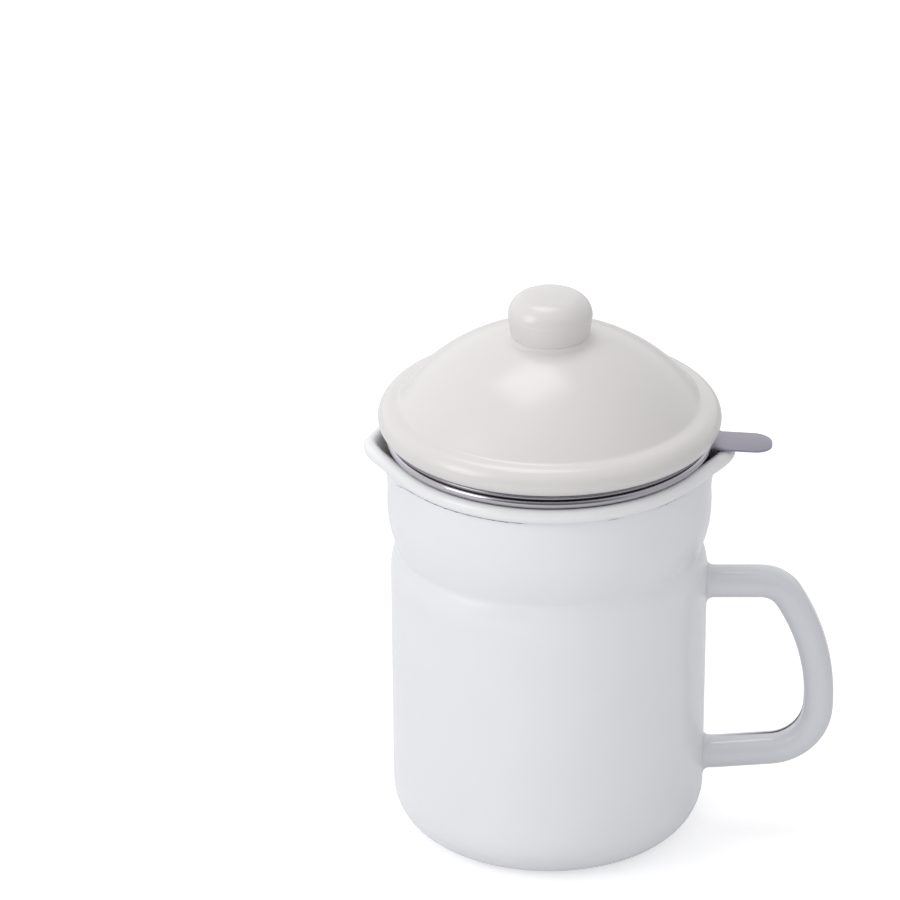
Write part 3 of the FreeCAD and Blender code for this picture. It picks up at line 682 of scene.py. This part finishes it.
def frame_outline():
    """The frame's section with a mark for each finish."""
    outer_floor = route(
        (frame_throat - 0.12, bead_level - 4.4), (low_wall, heel_level + 0.15), (heel, heel_level),
        (heel, frame_base + fold_round), (heel - fold_round, frame_base, fold_round, -1),
        (seat_outer + fold_round, frame_base),
        (seat_outer, frame_base + fold_round, fold_round, -1),
        (seat_outer, seat_level - seat_round), (seat_outer - seat_round, seat_level, seat_round, 1),
        (seat_inner, seat_level), (seat_inner - fold_round, seat_level - fold_round, fold_round, 1),
        (seat_inner - fold_round, flange_level + flange_round),
        (step_end, flange_level, flange_round, -1), (hem_ring + hem_round, flange_level))
    under = eased(outer_floor, spacing=0.1, rounds=2)
    over = beside(under, -frame_sheet)
    centre = Vector((bead_ring, bead_level))
    touch, wall_pull, bead_pull = math.radians(135), 4.5, 2.6
    meet = centre + unit(touch) * frame_bead
    wall = hermite(over[0], (over[0] - over[1]).normalized() * wall_pull, meet,
                   Vector((1, 1)).normalized() * bead_pull, count=10)
    bead, outer = rolled(wall, frame_sheet, centre, frame_bead, frame_bead, touch,
                         around=30, down=8)
    hem = [Vector((hem_ring, flange_level + frame_sheet / 2))
           + unit(math.radians(330 - 300 * step / 14)) * hem_round for step in range(15)]
    crease = outer[0]

    def finish(points, polish, bare=0.0, painted_light=0.0, painted_shade=0.0):
        return [(p.x, p.y, {"polish": polish, "bare": bare, "painted_shade": painted_shade, "painted_light": painted_light})
                for p in points]

    loop = finish(under[1:], 0.0) + finish(hem, 1.0)
    for p in over[::-1]:
        if p.x > seat_outer + fold_round:
            # Painted shade darkens the wall towards the narrow fold at its foot, and painted light
            # lightens it all over.
            loop += finish([p], 0.0, 0.55 * (1 - ramp(p.y, heel_level, 7.0)) ** 2, 0.9)
        else:
            # Painted shade along the narrow fold, the step and the flange's round, and painted
            # light over the seat and the flange.
            fold = 0.9 if p.x > seat_outer + 0.45 else 0.0
            step = 0.45 if seat_inner - 0.9 < p.x < seat_inner + 0.15 else 0.0
            ring = 0.4 if abs(p.x - step_end - 0.1) < 0.35 else 0.0
            loop += finish([p], 1.0, max(fold, step, ring), 1.0)
    # Painted light on the inner wall, painted shade on the bead, and a painted shadow line at the
    # crease below the bead.
    loop += finish(wall[1:-2], 0.2, 0.0, 0.9) + finish(wall[-2:], 0.8)
    loop += finish(bead, 1.0, 0.0, 0.0, 0.4)
    loop += finish([crease.lerp(bead[-1], 0.3)], 0.6) + finish([crease], 0.3, 0.7)
    loop += finish([crease.lerp(outer[1], 0.3)], 0.0) + finish(outer[1:], 0.0)
    return loop


frame_loop = frame_outline()
turned("cartridge_frame_steel", lambda angle: frame_loop, 288, "frame", "stainless", steel,
       "cartridge_frame")


def finger_tab():
    """The tab with eased edges; its leg is bent to the wall that it is welded to."""
    work = bmesh.new()
    work.from_mesh(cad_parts["frame_tab"].data)
    bmesh.ops.remove_doubles(work, verts=work.verts, dist=0.00001)
    bmesh.ops.dissolve_limit(work, angle_limit=math.radians(1), verts=work.verts, edges=work.edges)
    leg_from, leg_to, radius = [size * MM for size in (bead_level - 3.0, bead_level - 15.7,
                                                       frame_throat)]
    # Cuts along the leg, where it can bend.
    for side in (-5.0, -2.5, 0.0, 2.5, 5.0):
        bmesh.ops.bisect_plane(work, geom=work.verts[:] + work.edges[:] + work.faces[:],
                               plane_co=(0, side * MM, 0), plane_no=(0, 1, 0))
    for vertex in work.verts:
        down = (leg_from - vertex.co.z) / (leg_from - leg_to)
        if down > 0:
            bent = 0.35 + 0.65 * min(1.0, down)
            vertex.co.x -= bent * (radius - math.sqrt(radius ** 2 - vertex.co.y ** 2))
    mesh = bpy.data.meshes.new("frame_tab_steel")
    work.to_mesh(mesh)
    work.free()
    on_leg = [vertex.co.z < leg_from for vertex in mesh.vertices]
    # Painted shade darkens the flat tongue, which faces the bright room above, and the leg only a
    # little.
    set_marks(mesh, {mark: [leg if low else tongue for low in on_leg]
                     for mark, leg, tongue in (("polish", 0.1, 0.1), ("bare", 0.0, 0.0),
                                               ("painted_shade", 0.1, 0.85), ("painted_light", 0.0, 0.0))})
    mesh.materials.append(steel)
    piece = placed("frame_tab_steel", mesh)
    bevel = piece.modifiers.new("Eased edges", "BEVEL")
    bevel.width, bevel.segments, bevel.angle_limit = 0.18 * MM, 2, math.radians(50)
    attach(piece, "frame")
    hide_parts("frame_tab")


finger_tab()


# ---------------------------------------------------------------- strainer

def strip_outline():
    """The folded strip's section: curl, sloping flat and the leg that grips the mesh."""
    high, bend, leg = strip_level + strip_curl, 0.9, 1.5
    inner = high - 0.85
    outer = route((strip_ring, strip_level - strip_curl),
                  (strip_radius, strip_level, strip_curl, 1), (strip_ring, high, strip_curl, 1),
                  (leg_bore + bend, inner), (leg_bore, inner - bend, bend, 1),
                  (leg_bore, inner - bend - leg))
    return soften(outer + beside(outer, strip_sheet)[::-1], radius=0.16)


strip_loop = strip_outline()
lap_out, lap_up = 0.12, 0.38


def strip_profile(angle):
    """The strip's section; its last end rides over the first in a short lap."""
    over = ramp(angle, joint_angle + 355.0, 2.5)
    sideways = abs(math.cos(math.radians(angle)))
    row = []
    for p in strip_loop:
        # Painted shade darkens the curl's underside all round and the flat inside the curl; a
        # painted dark reflection darkens the curl's outer edge at the two sides.
        edge = ramp(p.x, strip_ring + 0.35, 0.3) * 0.6 * sideways
        under = 0.85 if p.x > strip_ring - 0.2 and p.y < strip_level - 0.15 else 0.0
        row.append((p.x + lap_out * over, p.y + lap_up * over,
                    {"polish": 0.5, "painted_light": 0.0, "bare": max(edge, under),
                     "painted_shade": 0.3 + 0.7 * ramp(strip_ring + 0.5 - p.x, 0, 0.5)}))
    return row


turned("strainer_rim_steel", strip_profile, 300, "strainer", "stainless", steel, "strainer_rim",
       start=joint_angle, sweep=361.5)


def wire_set(name, side):
    """One direction of the woven basket, by Geometry Nodes.

    Parallel wires, with one point at each crossing, go over and under in turn.  The flat sheet
    is then pressed into a basket: floor, rounded corner and upright wall.
    """
    tree = bpy.data.node_groups.new(name, "GeometryNodeTree")
    sizes = {"Pitch": 1.0, "Wire radius": 0.22, "Floor radius": 45.8, "Corner": 2.7,
             "Wall": 11.3, "Taper": 0.088, "Floor level": mesh_base + 0.3, "Sag": 0.3}
    for label, value in sizes.items():
        tree.interface.new_socket(label, in_out="INPUT", socket_type="NodeSocketFloat")
    tree.interface.new_socket("Side", in_out="INPUT", socket_type="NodeSocketFloat")
    tree.interface.new_socket("Geometry", in_out="OUTPUT", socket_type="NodeSocketGeometry")
    given = add_node(tree, "NodeGroupInput").outputs
    count = 125
    back = add_node(tree, "ShaderNodeMath", {0: given["Pitch"], 1: -(count - 1) / 2},
                    operation="MULTIPLY")
    rows, one = [
        add_node(tree, "GeometryNodeMeshLine", {
            "Count": count,
            "Start Location": add_node(tree, "ShaderNodeCombineXYZ", {way: back}),
            "Offset": add_node(tree, "ShaderNodeCombineXYZ", {way: given["Pitch"]})})
        for way in ("X", "Y")]
    set_out = add_node(tree, "GeometryNodeInstanceOnPoints", {"Points": rows, "Instance": one})
    laid = add_node(tree, "GeometryNodeRealizeInstances", {"Geometry": set_out})

    here = add_node(tree, "GeometryNodeInputPosition")
    x, y, _ = add_node(tree, "ShaderNodeSeparateXYZ", {"Vector": here}).outputs
    run = add_node(tree, "ShaderNodeVectorMath", {0: here}, operation="LENGTH")
    heading = add_node(tree, "ShaderNodeVectorMath", {0: here}, operation="NORMALIZE")
    swell = add_node(tree, "ShaderNodeTexNoise", {"Vector": here, "Scale": 0.045, "Detail": 1.0})
    known = {"x": x, "y": y, "run": run, "swell": swell,
             **{socket.name: socket for socket in given}}
    # The pressing, step by step: what comes out, the operation and what goes in.
    for result, operation, *terms in (
            # Rings round the middle: the floor ends, the corner, the wall, its edge.
            ("corner run", "MULTIPLY", "Corner", math.pi / 2),
            ("to wall", "ADD", "Floor radius", "corner run"),
            ("edge", "ADD", "to wall", "Wall"),
            ("reach", "MINIMUM", "run", "edge"),
            # A wire goes over at every other crossing.
            ("column", "DIVIDE", "x", "Pitch"), ("column", "ROUND", "column"),
            ("row", "DIVIDE", "y", "Pitch"), ("row", "ROUND", "row"),
            ("crossing", "ADD", "column", "row"),
            ("over", "FLOORED_MODULO", "crossing", 2.0), ("over", "MULTIPLY", "over", 2.0),
            ("over", "SUBTRACT", "over", 1.0), ("over", "MULTIPLY", "over", "Side"),
            ("lift", "MULTIPLY", "over", "Wire radius"),
            # How far the sheet is bent here, from flat to upright.
            ("bend", "SUBTRACT", "reach", "Floor radius"), ("bend", "DIVIDE", "bend", "Corner"),
            ("bend", "MAXIMUM", "bend", 0.0), ("bend", "MINIMUM", "bend", math.pi / 2),
            ("sine", "SINE", "bend"), ("cosine", "COSINE", "bend"),
            ("on floor", "MINIMUM", "reach", "Floor radius"),
            ("up wall", "SUBTRACT", "reach", "to wall"), ("up wall", "MAXIMUM", "up wall", 0.0),
            ("round", "MULTIPLY", "Corner", "sine"), ("radius", "ADD", "on floor", "round"),
            ("lean", "MULTIPLY", "up wall", "Taper"), ("radius", "ADD", "radius", "lean"),
            ("inward", "MULTIPLY", "sine", "lift"), ("radius", "SUBTRACT", "radius", "inward"),
            ("rise", "SUBTRACT", 1.0, "cosine"), ("rise", "MULTIPLY", "Corner", "rise"),
            ("height", "ADD", "rise", "up wall"), ("upward", "MULTIPLY", "cosine", "lift"),
            ("height", "ADD", "height", "upward"),
            # The floor isn't quite flat: slow swells, none at its edge.
            ("calm", "DIVIDE", "run", "Floor radius"), ("calm", "SUBTRACT", 1.0, "calm"),
            ("calm", "MAXIMUM", "calm", 0.0),
            ("swell", "SUBTRACT", "swell", 0.5), ("swell", "MULTIPLY", "swell", "calm"),
            ("swell", "MULTIPLY", "swell", "Sag"),
            ("height", "ADD", "height", "Floor level"), ("height", "ADD", "height", "swell"),
            # Where the wires are cut off, and their radius in metres.
            ("cut", "MULTIPLY", "Pitch", 0.7), ("cut", "ADD", "edge", "cut"),
            ("wire", "MULTIPLY", "Wire radius", MM)):
        inputs = {place: known.get(term, term) for place, term in enumerate(terms)}
        known[result] = add_node(tree, "ShaderNodeMath", inputs, operation=operation)
    across = add_node(tree, "ShaderNodeVectorMath", {0: heading, "Scale": known["radius"]},
                      operation="SCALE")
    upright = add_node(tree, "ShaderNodeCombineXYZ", {"Z": known["height"]})
    pressed = add_node(tree, "ShaderNodeVectorMath", {0: across, 1: upright}, operation="ADD")
    metres = add_node(tree, "ShaderNodeVectorMath", {0: pressed, "Scale": MM}, operation="SCALE")

    spare = add_node(tree, "FunctionNodeCompare", {0: run, 1: known["cut"]},
                     data_type="FLOAT", operation="GREATER_THAN")
    trimmed = add_node(tree, "GeometryNodeDeleteGeometry", {"Geometry": laid, "Selection": spare},
                       domain="POINT")
    shaped = add_node(tree, "GeometryNodeSetPosition", {"Geometry": trimmed, "Position": metres})
    lines = add_node(tree, "GeometryNodeMeshToCurve", {"Mesh": shaped})
    section = add_node(tree, "GeometryNodeCurvePrimitiveCircle", {"Resolution": 4,
                                                                  "Radius": known["wire"]})
    tubes = add_node(tree, "GeometryNodeCurveToMesh", {"Curve": lines, "Profile Curve": section,
                                                       "Fill Caps": True})
    smooth = add_node(tree, "GeometryNodeSetShadeSmooth", {"Geometry": tubes})
    real = add_node(tree, "GeometryNodeRealizeInstances", {"Geometry": smooth})
    dressed = add_node(tree, "GeometryNodeSetMaterial", {"Geometry": real, "Material": wire})
    add_node(tree, "NodeGroupOutput", {"Geometry": dressed})

    piece = placed(name, bpy.data.meshes.new(name))
    modifier = piece.modifiers.new("Weave", "NODES")
    modifier.node_group = tree
    for item in tree.interface.items_tree:
        if item.in_out == "INPUT":
            modifier[item.identifier] = float({**sizes, "Side": side}[item.name])
    shown = piece.evaluated_get(bpy.context.evaluated_depsgraph_get())
    woven = bpy.data.meshes.new_from_object(shown)
    piece.modifiers.clear()
    piece.data = woven
    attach(piece, "strainer")
    return piece


for name, side in (("strainer_warp", 1), ("strainer_weft", -1)):
    piece = wire_set(name, side)
    if side < 0:
        # The weft is the same set of wires, laid across the warp.
        for vertex in piece.data.vertices:
            vertex.co = Vector((vertex.co.y, vertex.co.x, vertex.co.z))
        piece.data.flip_normals()
    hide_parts("strainer_mesh")


# ---------------------------------------------------------------- lid

def lid_outline():
    """Half of the lid's section: over the dome and brim, down the skirt and back inside."""
    level, below = brim_level, brim_level - brim_fold
    skirt, skirt_depth, skirt_taper = leg_bore - 2.35, 12.85, 0.2
    valley_round, turn = 3.0, 1.1
    outer = route((0, level + dome_rise), (valley_radius, level + valley_rise, dome_radius, -1),
                  (brim_crown, level + brim_round, valley_round, 1),
                  (lid_radius, level, brim_round, -1),
                  (lid_radius - brim_fold, below, brim_fold, -1),
                  (skirt + turn, below), (skirt, below - turn, turn, 1),
                  (skirt - skirt_taper, level - skirt_depth))
    outer = eased(outer, spacing=0.5, rounds=3)
    inner = beside(outer, -lid_sheet)
    return soften(outer + inner[::-1], radius=0.62, closed=False), len(outer)


lid_loop, lid_half = lid_outline()
# The lid's underside takes the inside's painted light.
lid_spots = [(p.x, p.y, {"inside": 0.0 if index < lid_half else 1.0, "bare": 0.0})
             for index, p in enumerate(lid_loop)]
turned("lid_enamel", lambda angle: lid_spots, 288, "lid", "enamel", lid_enamel, "lid_shell")


def knob_outline():
    """Half of the knob's section, with the fillet that joins it to the dome."""
    top, shoulder = brim_level + knob_top, 7.15
    side, crown, crown_round = top - shoulder, 7.0, 40.0
    rise = crown_round - math.sqrt(crown_round ** 2 - crown ** 2)
    waist, waist_level, waist_round = knob_radius - 0.8, side - 5.75, 1.6
    neck = waist - 1.1
    foot, fillet = neck + 3.7, 5.0

    def dome(r):
        return brim_level + dome_rise - dome_radius + math.sqrt(dome_radius ** 2 - r ** 2)

    outer = route((0, top + rise), (crown, top, crown_round, -1), (knob_radius, side, shoulder, -1),
                  (waist, waist_level), (neck, waist_level - waist_round, waist_round, -1),
                  (neck, dome(neck) + 1.3), (foot, dome(foot) + 0.02, fillet, 1),
                  (foot, dome(foot) - 0.5), (0, dome(0) - 0.6))
    return eased(outer, spacing=0.3, rounds=2)


knob_spots = spots(knob_outline(), inside=0.0, bare=0.0)
turned("lid_knob_enamel", lambda angle: knob_spots, 160, "lid", "enamel", lid_enamel, "lid_knob")


# ---------------------------------------------------------------- stage, light and camera

def sight(tree):
    """1 where a ray comes from the camera, straight or through glass, and 1 where it glances."""
    path = add_node(tree, "ShaderNodeLightPath").outputs
    seen = add_node(tree, "ShaderNodeMath", {0: path["Is Camera Ray"],
                                             1: path["Is Transmission Ray"]},
                    operation="MAXIMUM")
    return seen, path["Is Glossy Ray"]


def pale_floor():
    """A pale worktop: white to the camera and in reflections, darker in the pot's shadow."""
    material, tree, shader = new_material("Pale worktop")
    seen, glancing = sight(tree)
    place = add_node(tree, "ShaderNodeTexCoord").outputs["Object"]
    place = add_node(tree, "ShaderNodeSeparateXYZ", {"Vector": place})
    across = add_node(tree, "ShaderNodeMapRange", {"Value": place.outputs["X"], "From Min": -0.35,
                                                   "From Max": 0.35, "To Min": 0.36,
                                                   "To Max": 0.05})
    glow = add_node(tree, "ShaderNodeMath", {0: glancing, 1: across}, operation="MULTIPLY")
    glow = add_node(tree, "ShaderNodeMath", {0: seen, 1: 0.5, 2: glow}, operation="MULTIPLY_ADD")
    feed(tree, shader, {"Base Color": linear("E4E4E5"), "Roughness": 0.9,
                        "Specular IOR Level": 0.1, "Emission Color": (1.0, 1.0, 1.0, 1.0),
                        "Emission Strength": glow})
    return material


floor_mesh = bpy.data.meshes.new("worktop")
floor_half, floor_level = 8.0, -0.0005
floor_mesh.from_pydata([(x * floor_half, y * floor_half, floor_level)
                        for x, y in ((-1, -1), (1, -1), (1, 1), (-1, 1))], [], [(0, 1, 2, 3)])
floor_mesh.materials.append(pale_floor())
worktop = placed("worktop", floor_mesh)

world = bpy.data.worlds.new("studio")
scene.world = world
world.use_nodes = True
tree = world.node_tree
tree.nodes.clear()
seen, glancing = sight(tree)
heading = add_node(tree, "ShaderNodeTexCoord").outputs["Generated"]
heading = add_node(tree, "ShaderNodeSeparateXYZ", {"Vector": heading}).outputs
# The room is brightest on the left and at the back; steel mirrors a dark side in front.
ambient, mirrored, dark, behind = [
    add_node(tree, "ShaderNodeMapRange", {
        "Value": heading[way], "From Min": start, "From Max": end,
        "To Min": first, "To Max": last}, interpolation_type=curve)
    for way, start, end, first, last, curve in (
        ("X", -0.8, 0.9, 0.65, 0.52, "LINEAR"), ("X", -0.8, 0.9, 1.15, 0.76, "LINEAR"),
        ("Y", -0.92, -0.3, 0.22, 1.0, "SMOOTHSTEP"), ("Y", 0.1, 0.7, 1.0, 1.35, "SMOOTHSTEP"))]
for part in (dark, behind):
    mirrored = add_node(tree, "ShaderNodeMath", {0: mirrored, 1: part}, operation="MULTIPLY")
strength = ambient
for ray, light in ((glancing, mirrored), (seen, 1.0)):
    strength = add_node(tree, "ShaderNodeMix", {"Factor": ray, "A": strength, "B": light},
                        data_type="FLOAT")
sky = add_node(tree, "ShaderNodeBackground", {"Color": (1.0, 1.0, 1.0, 1.0),
                                              "Strength": strength})
add_node(tree, "ShaderNodeOutputWorld", {"Surface": sky})


def soft_light(name, place, aim, size, power):
    """A square lamp, aimed at a place on the object."""
    lamp = bpy.data.lights.new(name, "AREA")
    lamp.size, lamp.energy = size, power
    light = placed(name, lamp)
    light.location = place
    light.rotation_euler = (Vector(aim) - Vector(place)).to_track_quat("-Z", "Y").to_euler()
    return light


soft_light("top", (-0.25, 0.45, 1.9), (0, 0, 0.15), size=0.9, power=7.5)
soft_light("key", (-1.5, -0.8, 1.0), (0, 0, 0.12), size=0.9, power=7.9)
# Bounced light from the front; it is too broad and dim to be seen in the steel.
front = soft_light("front", (0.1, -2.3, 1.15), (0, 0, 0.12), size=1.8, power=11.0)
front.visible_glossy = False

camera_data = bpy.data.cameras.new("camera")
camera_data.lens, camera_data.sensor_width = 420.0, 36.0
camera_data.clip_start, camera_data.clip_end = 0.1, 50.0
camera = placed("camera", camera_data)
down, distance = math.radians(25.5), 3.5
aim = Vector((-0.0332, 0.0, 0.1378))
camera.location = aim - Vector((0, math.cos(down), -math.sin(down))) * distance
camera.rotation_euler = (math.pi / 2 - down, 0, 0)
scene.camera = camera
scene.view_settings.view_transform = "Standard"
# The pot's white walls light one another many times over.
scene.cycles.max_bounces = 16
scene.cycles.diffuse_bounces = 12
